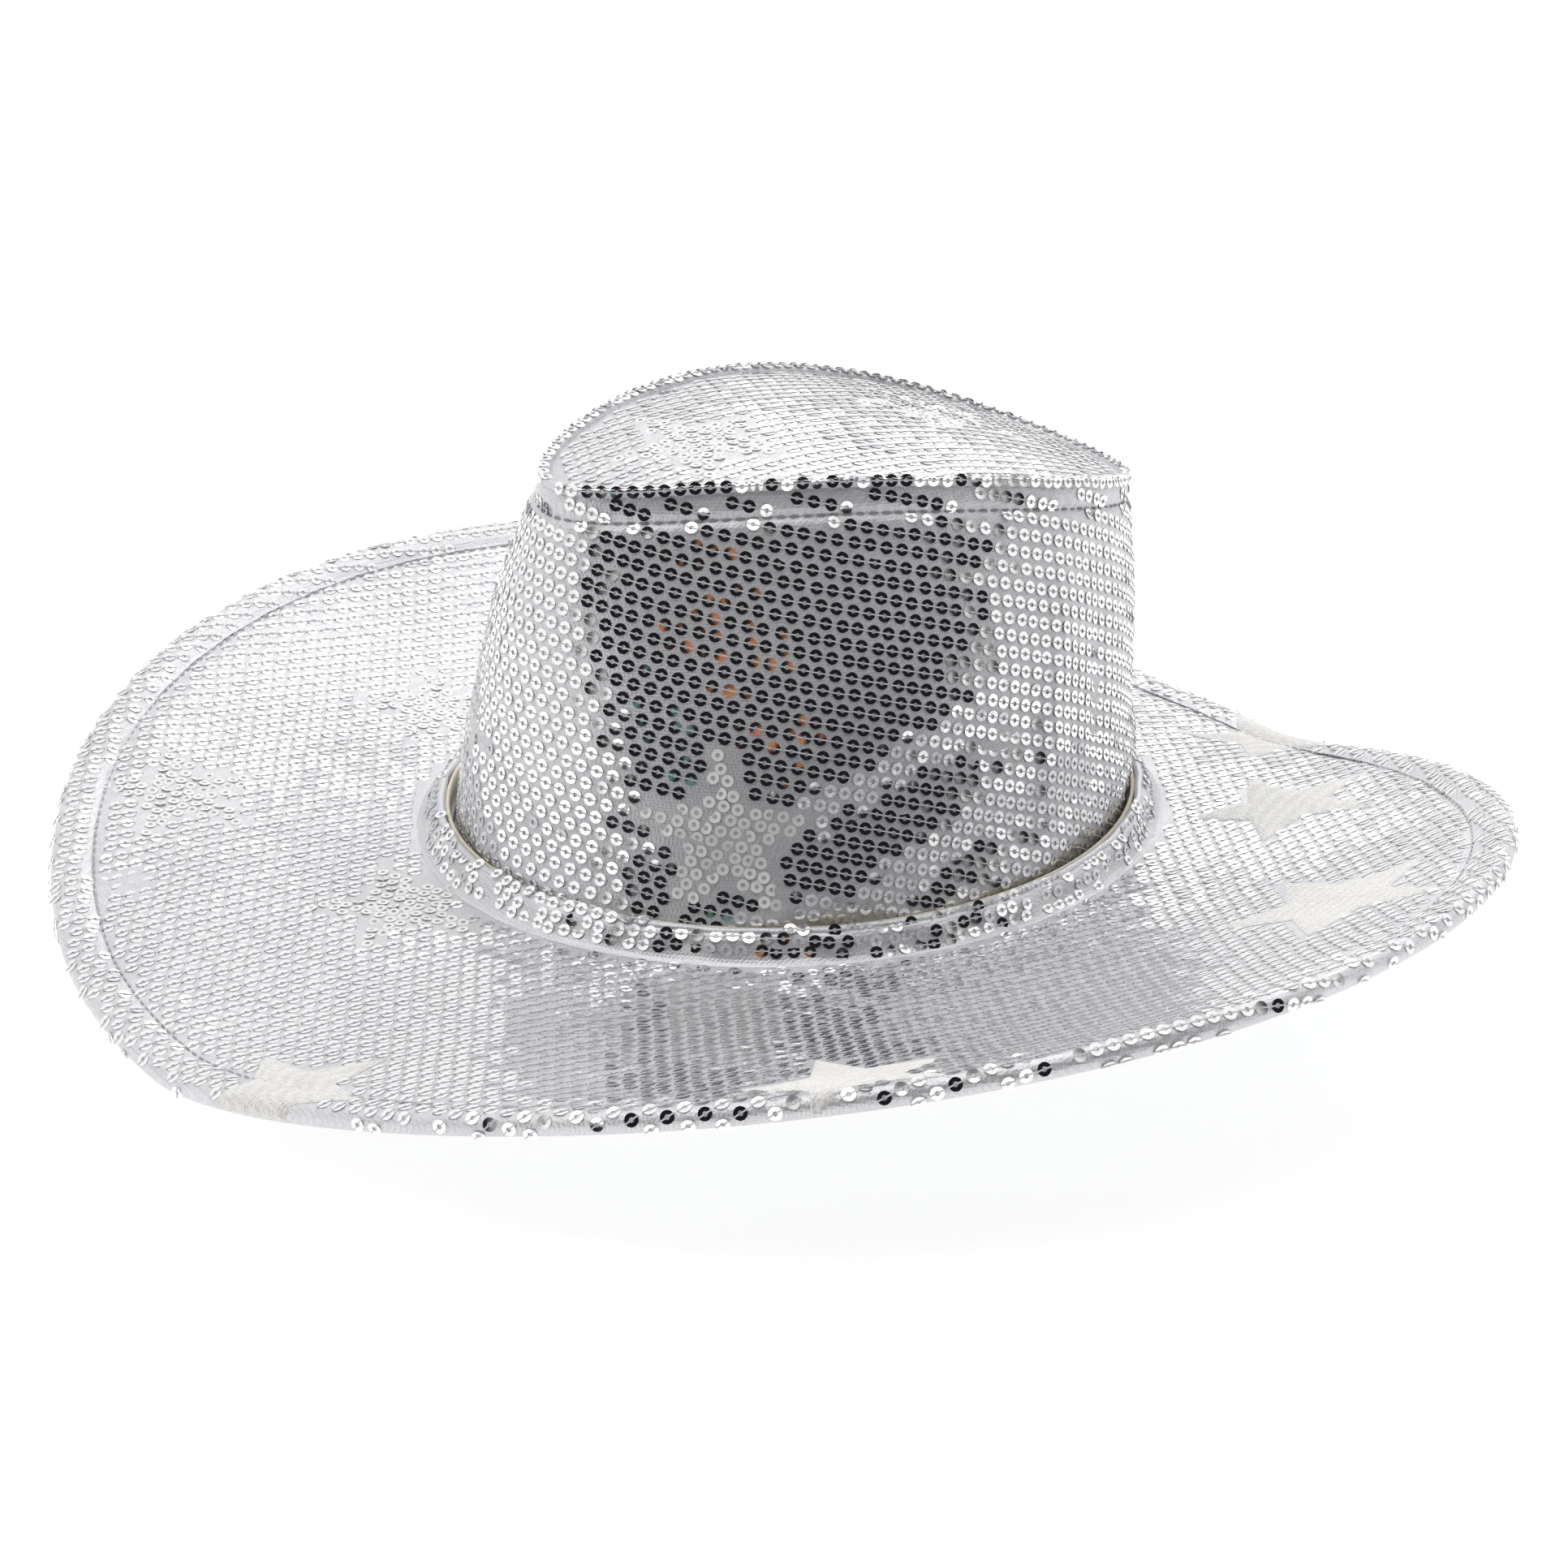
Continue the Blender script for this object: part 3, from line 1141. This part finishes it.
@dataclass
class Crown:
    """The crown: wall, tip, welt, stitches, stars and sequins."""

    shape: HatShape
    bench: Bench
    sewer: SequinSewer
    stations: int = 480
    row_direction: float = math.radians(-3)
    tip_direction: float = math.radians(90)
    welt_radius: float = 1.5
    welt_reach: float = 70.0    # mean reach of the tip's seam, to lay its angle out flat

    def build(self) -> None:
        """Builds every piece of the crown."""
        self.wall()
        self.tip()
        self.welt()
        self.inside()

    def wall_stars(self) -> list[Star]:
        """Stars on the wall's flat pattern, each with a point upward."""
        made = []
        for name, angle, share, radius in (("star_side", 49, 0.27, 27), ("star_far_side", -75, 0.60, 26),
                                           ("star_behind", 160, 0.52, 26),
                                           ("star_front_low", -28, 0.30, 26)):
            turn = math.radians(angle)
            u, v = self.shape.wall_spot(turn, share)
            lean = math.degrees(float(np.interp(turn, self.shape.pattern_angle, self.shape.pattern_turn)))
            made.append(Star(u, v, radius, 90 + lean, name, cream=False))
        return made

    def wall(self) -> None:
        """The wall's cloth with its folds, stars, stitches and sequins."""
        shape = self.shape
        top = 1 - 0.8 / shape.wall_rise
        angle = turns(self.stations)[:, None]
        share = np.concatenate([np.linspace(0, 0.9, 56), np.linspace(0.904, top, 34)])[None]
        wide = np.broadcast_to(angle, (self.stations, share.shape[1]))
        tall = share + 0 * wide
        cloth = self.bench.ring("crown_wall_cloth", band(
            shape.wall(wide, tall, -shape.wall_relief(wide, tall)),
            shape.wall(wide, tall, np.full_like(tall, shape.cloth))), SILVER_KNIT, "sequin_cloth")
        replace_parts(cloth, "crown_wall_fabric")
        stars = self.wall_stars()
        plain = SequinKind(SEQUIN, tilt=2.4, lean=4.5, pitch=3.98, row_gap=4.19, slant=0.56)
        rng = np.random.default_rng(31)
        u, v = self.sewer.lattice(plain, (-275, 275), (-25, 200), self.row_direction, rng)
        _, at_share = shape.wall_place(u, v)
        turn = np.arctan2(u, shape.pattern_radius - v)
        kept = (at_share > 0.012) & (at_share < 1 - 2.4 / shape.wall_rise)
        kept &= np.abs(turn) < shape.pattern_turn[-1] - 2.6 / shape.pattern_radius
        kept &= np.abs(at_share - shape.stitch_share()) > 1.0 / shape.wall_rise
        for star in stars:
            kept &= ~star.holds(u, v, STAR_MARGIN)
        rings = self.sewer.sew("crown_sequins", plain, shape.wall_skin, u[kept], v[kept], self.row_direction)
        rings += self.sewer.fill_stars("crown_star_sequins", stars, shape.wall_skin, self.row_direction,
                                       lambda a, b: shape.wall_place(a, b)[1] > 0.02, rng)
        stitches = self.topstitch()

    def topstitch(self) -> bpy.types.Object:
        """The stitch row under the tip's seam."""
        shape = self.shape
        row = shape.stitch_share()

        def line(angle: np.ndarray) -> np.ndarray:
            share = np.full_like(angle, row)
            return shape.wall(angle, share, -shape.wall_relief(angle, share) - 0.2)
        angle = turns(FINE)
        made = Stitcher(self.bench, thick=0.55).row(
            "crown_topstitch", line, shape.wall_normal(angle, np.full_like(angle, row)))
        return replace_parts(made, "crown_tip_topstitch")

    def tip(self) -> None:
        """The tip's cloth, its star and its sequins."""
        shape = self.shape
        outline = shape.tip_plan(turns(self.stations), 0.9)
        share = np.linspace(0, 1, 42)[None, :, None]
        middle = np.array([0.0, shape.tip_shift])
        plan = middle + (outline[:, None] - middle) * share
        upper = shape.tip_skin(plan[..., 0], plan[..., 1])
        lower = upper - np.array([0, 0, shape.cloth])
        cloth = self.bench.disc("crown_tip_cloth", upper, lower, SILVER_KNIT, "sequin_cloth")
        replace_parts(cloth, "crown_tip_fabric")
        stars = [Star(5, -35, 27, 41, "star_top", cream=False),
                 Star(-6, 48, 26, 41, "star_top_back", cream=False)]
        plain = SequinKind(SEQUIN, tilt=2.2, lean=-4.0)
        rng = np.random.default_rng(41)
        u, v = self.sewer.lattice(plain, (-75, 75), (-85, 105), self.tip_direction, rng)
        kept = self.inside_tip(u, v, 3.4)
        for star in stars:
            kept &= ~star.holds(u, v, STAR_MARGIN)
        rings = self.sewer.sew("tip_sequins", plain, shape.tip_skin, u[kept], v[kept], self.tip_direction)
        rings += self.sewer.fill_stars("tip_star_sequins", stars, shape.tip_skin, self.tip_direction,
                                       lambda a, b: self.inside_tip(a, b, 3.0), rng)

    def inside_tip(self, u: np.ndarray, v: np.ndarray, inset: float) -> np.ndarray:
        """Whether plan spots lie inside the tip's outline moved inward."""
        outline = self.shape.tip_plan(turns(720), inset)
        bearing = np.arctan2(outline[:, 0], -(outline[:, 1] - self.shape.tip_shift))
        order = np.argsort(bearing)
        reach = np.hypot(outline[:, 0], outline[:, 1] - self.shape.tip_shift)[order]
        at = np.arctan2(u, -(v - self.shape.tip_shift))
        return np.hypot(u, v - self.shape.tip_shift) < np.interp(at, bearing[order], reach, period=2 * np.pi)

    def welt_skin(self, u: np.ndarray, v: np.ndarray) -> np.ndarray:
        """The rolled seam laid out flat: mm along it, and mm round it from its outer side upward."""
        angle = u / self.welt_reach
        centre = self.shape.seam(angle)
        outward = self.shape.wall_normal(angle, np.ones_like(angle))
        upward = np.broadcast_to(np.array([0.0, 0.0, 1.0]), outward.shape)
        bend = (v / self.welt_radius)[..., None]
        return centre + self.welt_radius * (outward * np.cos(bend) + upward * np.sin(bend))

    def welt(self) -> None:
        """The rolled seam round the tip and its two rows of sequins."""
        shape = self.shape
        angle = turns(self.stations)
        bends = turns(14)
        around = self.welt_reach * np.broadcast_to(angle[:, None], (self.stations, 14))
        points = self.welt_skin(around, self.welt_radius * np.broadcast_to(bends, around.shape))
        welt = self.bench.ring("crown_welt", points, SILVER_KNIT, "sequin_cloth")
        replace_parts(welt, "crown_tip_welt")
        plain = SequinKind(SEQUIN, tilt=3.5, wander=0.3)
        rng = np.random.default_rng(53)
        run = run_length(shape.seam(turns(FINE)), closed=True)
        pitch = 3.9
        row = np.arange(4.0, run[-1] - 2, pitch)
        spots = np.concatenate([row, row + pitch / 2]) + rng.normal(0, 0.15, 2 * len(row))
        u = self.welt_reach * np.interp(spots, run, np.linspace(0, 2 * np.pi, FINE + 1))
        v = self.welt_radius * np.radians(np.repeat([14, 72], len(row)) + rng.normal(0, 4, len(u)))
        self.sewer.sew("welt_sequins", plain, self.welt_skin, u, v, 0.0, 0.14)

    def inside(self) -> None:
        """Linings, sweatband, its stitches and the tapes inside the crown."""
        shape = self.shape
        angle = turns(240)[:, None]
        height = shape.wall_rise
        top = 1 - 1.7 / height
        board = shape.cloth + shape.gap
        lining = board + shape.crown_board + shape.gap
        inner = lining + shape.lining_cloth + shape.gap

        def layer(name: str, near: float, far: float, low: float, high: float, finish: Finish,
                  slot: str) -> bpy.types.Object:
            share = np.linspace(low, high, 24)[None]
            wide = np.broadcast_to(angle, (240, 24))
            tall = share + 0 * wide
            deep = np.zeros_like(tall)
            return self.bench.ring(name, band(shape.wall(wide, tall, near + deep),
                                              shape.wall(wide, tall, far + deep)), finish, slot)
        wall = layer("crown_wall_satin", lining, lining + shape.lining_cloth, 0.0, top, LINING_SATIN,
                     "lining_satin")
        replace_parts(wall, "crown_wall_lining")
        thick = 1.0
        top_band = 28.0 / height
        slope = (shape.half_width - shape.gutter - shape.tip_half_width) / shape.crown_height
        band_foot = (inner + thick) * slope / height
        sweat = layer("sweatband_strip", inner, inner + thick, band_foot, top_band, BEIGE_BAND, "beige_band")
        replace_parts(sweat, "sweatband")
        row = top_band * 0.9

        def line(turn: np.ndarray) -> np.ndarray:
            return shape.wall(turn, np.full_like(turn, row), inner + thick + 0.3)
        at = turns(FINE)
        stitches = Stitcher(self.bench, thick=0.5).row(
            "sweatband_stitches", line, -shape.wall_normal(at, np.full_like(at, row)))
        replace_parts(stitches, "sweatband_stitching")
        plan = shape.tip_plan(turns(240), 4.2)
        middle = np.array([0.0, shape.tip_shift])
        spread = middle + (plan[:, None] - middle) * np.linspace(0, 1, 24)[None, :, None]
        face = shape.tip_skin(spread[..., 0], spread[..., 1])
        down = np.array([0, 0, 1.0])
        tip = self.bench.disc("crown_tip_satin", face - down * lining,
                              face - down * (lining + shape.lining_cloth), LINING_SATIN, "lining_satin")
        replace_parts(tip, "crown_tip_lining")
        self.tapes(inner, top_band)

    def tapes(self, depth: float, band_top: float) -> None:
        """The tape over the back seam and the tape that joins the crown to the brim."""
        shape = self.shape
        share = np.linspace(band_top + 0.02, 1 - 4.9 / shape.wall_rise, 24)
        half = 7.0
        across = np.concatenate([np.linspace(-half, half, 9), np.linspace(half, -half, 9)])
        deep = np.concatenate([np.full(9, depth), np.full(9, depth + 0.5)])
        reach = ((shape.half_width - shape.gutter) * (1 - share)
                 + shape.tip_half_width * (1 + shape.tip_taper) * share)[:, None]
        at = np.pi + across[None] / reach
        points = shape.wall(at, share[:, None] + 0 * at, deep[None] + 0 * at)
        rows, spots = points.shape[:2]
        quads = tube_quads(1, rows, spots, closed=False)
        half_spots = spots // 2
        for end in (0, (rows - 1) * spots):
            cap = np.array([(end + k, end + spots - 1 - k, end + spots - 2 - k, end + k + 1)
                            for k in range(half_spots - 1)])
            quads = np.concatenate([quads, cap if end == 0 else cap[:, ::-1]])
        seam = self.bench.piece("back_seam_tape", points, quads, WHITE_TAPE, "white_tape")
        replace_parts(seam, "crown_back_seam_tape")
        theta = turns(240)[:, None]
        low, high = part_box("crown_joining_tape")
        level = (np.array([low.z, high.z]) - self.bench.origin[2]) / MM
        outer = (high.x - low.x) / MM / 2 - shape.half_width
        inner = -shape.gutter - 6.15
        offset = np.concatenate([np.linspace(inner, outer, 6), np.linspace(outer, inner, 6)])
        above = np.concatenate([np.full(6, level[1]), np.full(6, level[0])])
        joint = self.bench.ring("joining_tape", shape.oval(theta, offset, above), WHITE_TAPE, "white_tape")
        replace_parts(joint, "crown_joining_tape")


@dataclass
class HiddenParts:
    """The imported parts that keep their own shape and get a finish."""

    finishes: dict[str, Finish] = field(default_factory=lambda: {
        "brim_stiffener": FOAM_SHEET, "crown_wall_stiffener": FOAM_SHEET, "crown_tip_stiffener": FOAM_SHEET,
        "brim_collar_core": FOAM_SHEET, "brim_edge_wire": STEEL_WIRE, "brim_wire_sleeve": SLEEVE_PLASTIC})

    def dress(self) -> None:
        """Gives each node its finish."""
        for name, finish in self.finishes.items():
            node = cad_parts[name]
            node.data.materials.clear()
            node.data.materials.append(finish.material())
            log.info("%s dressed as %s", name, finish.name)


# ---------------------------------------------------------------- studio

@dataclass
class Studio:
    """Floor, soft light and camera."""

    bench: Bench
    azimuth: float = 55.5
    elevation: float = 25.6
    roll: float = 1.0
    distance: float = 1.060
    lens: float = 87.05
    shift: tuple[float, float] = (-0.001346, 0.041201)      # shares of the frame

    def build(self) -> None:
        """Builds the studio."""
        self.floor()
        self.sky()
        self.lights()
        self.camera()

    def direction(self, azimuth: float, elevation: float) -> Vector:
        """A direction from an azimuth, 0 towards the front, and an elevation, in degrees."""
        turn, rise = math.radians(azimuth), math.radians(elevation)
        return Vector((math.sin(turn) * math.cos(rise), -math.cos(turn) * math.cos(rise), math.sin(rise)))

    def floor(self) -> None:
        """A wide floor of pale plastic, lit from below."""
        bpy.ops.mesh.primitive_plane_add(size=60, location=(0, 0, -0.0004))
        floor = bpy.context.object
        floor.name = "floor"
        floor.data.materials.append(FLOOR_PAPER.material())

    def sky(self) -> None:
        """White studio all round, with a dark room behind the camera and two small coloured things in it."""
        world = bpy.data.worlds.new("studio")
        bpy.context.scene.world = world
        world.use_nodes = True
        tree = world.node_tree
        tree.nodes.clear()
        place = tree.nodes.new("ShaderNodeTexCoord")
        shade = None
        for towards, wide, soft, color in ((self.direction(68, 13), 0.55, 0.09, (0.012, 0.012, 0.014)),
                                           (self.direction(66, 30), 0.9978, 0.0016, (0.45, 0.17, 0.07)),
                                           (self.direction(44, 16), 0.9980, 0.0015, (0.10, 0.20, 0.18))):
            dot = tree.nodes.new("ShaderNodeVectorMath")
            dot.operation = "DOT_PRODUCT"
            dot.inputs[1].default_value = towards
            tree.links.new(place.outputs["Generated"], dot.inputs[0])
            near = tree.nodes.new("ShaderNodeMapRange")
            near.interpolation_type = "SMOOTHSTEP"
            near.inputs["From Min"].default_value = wide - soft
            near.inputs["From Max"].default_value = wide + soft
            tree.links.new(dot.outputs["Value"], near.inputs["Value"])
            mix = tree.nodes.new("ShaderNodeMix")
            mix.data_type = "RGBA"
            mix.inputs["A"].default_value = (1.0, 1.0, 1.0, 1)
            mix.inputs["B"].default_value = (*color, 1)
            tree.links.new(near.outputs["Result"], mix.inputs["Factor"])
            if shade is not None:
                tree.links.new(shade.outputs["Result"], mix.inputs["A"])
            shade = mix
        room = tree.nodes.new("ShaderNodeBackground")
        tree.links.new(shade.outputs["Result"], room.inputs["Color"])
        plain = tree.nodes.new("ShaderNodeBackground")
        plain.inputs["Color"].default_value = (1, 1, 1, 1)
        path = tree.nodes.new("ShaderNodeLightPath")
        pick = tree.nodes.new("ShaderNodeMixShader")
        tree.links.new(path.outputs["Is Camera Ray"], pick.inputs["Fac"])
        tree.links.new(room.outputs["Background"], pick.inputs[1])
        tree.links.new(plain.outputs["Background"], pick.inputs[2])
        end = tree.nodes.new("ShaderNodeOutputWorld")
        tree.links.new(pick.outputs["Shader"], end.inputs["Surface"])

    def lights(self) -> None:
        """One large soft box above and one behind."""
        for name, azimuth, elevation, size, power in (("overhead", -30, 78, 1.6, 8.0),
                                                      ("behind", 215, 40, 1.2, 6.0)):
            light = bpy.data.lights.new(name, "AREA")
            light.size = size
            light.energy = power
            lamp = bpy.data.objects.new(name, light)
            towards = self.direction(azimuth, elevation)
            lamp.location = towards * 1.8
            lamp.rotation_euler = towards.to_track_quat("Z", "Y").to_euler()
            bpy.context.scene.collection.objects.link(lamp)

    def camera(self) -> None:
        """The camera, looking at the middle of the head opening."""
        back = self.direction(self.azimuth, self.elevation)
        turn, roll = math.radians(self.azimuth), math.radians(self.roll)
        right = Vector((math.cos(turn), math.sin(turn), 0))
        upward = back.cross(right)
        tilted_right = right * math.cos(roll) + upward * math.sin(roll)
        tilted_up = upward * math.cos(roll) - right * math.sin(roll)
        target = Vector((self.bench.origin[0], self.bench.origin[1] - 0.0019, 0.0))
        place = target + back * self.distance
        data = bpy.data.cameras.new("camera")
        data.sensor_width = 36
        data.lens = self.lens
        data.shift_x, data.shift_y = self.shift
        data.clip_start = 0.01
        camera = bpy.data.objects.new("camera", data)
        axes = Matrix((tilted_right, tilted_up, back)).transposed().to_4x4()
        camera.matrix_world = Matrix.Translation(place) @ axes
        bpy.context.scene.collection.objects.link(camera)
        bpy.context.scene.camera = camera


def main() -> None:
    """Builds the hat and its studio, in order."""
    logging.basicConfig(level=logging.INFO, format="%(message)s")
    shape = HatShape()
    bench = Bench.from_frame(shape)
    Studio(bench).build()
    sewer = SequinSewer(bench)
    HiddenParts().dress()
    Brim(shape, bench, sewer).build()
    Collar(shape, bench, sewer).build()
    Crown(shape, bench, sewer).build()
    bpy.context.scene.view_settings.view_transform = "Standard"


if __name__ == "__main__":
    main()
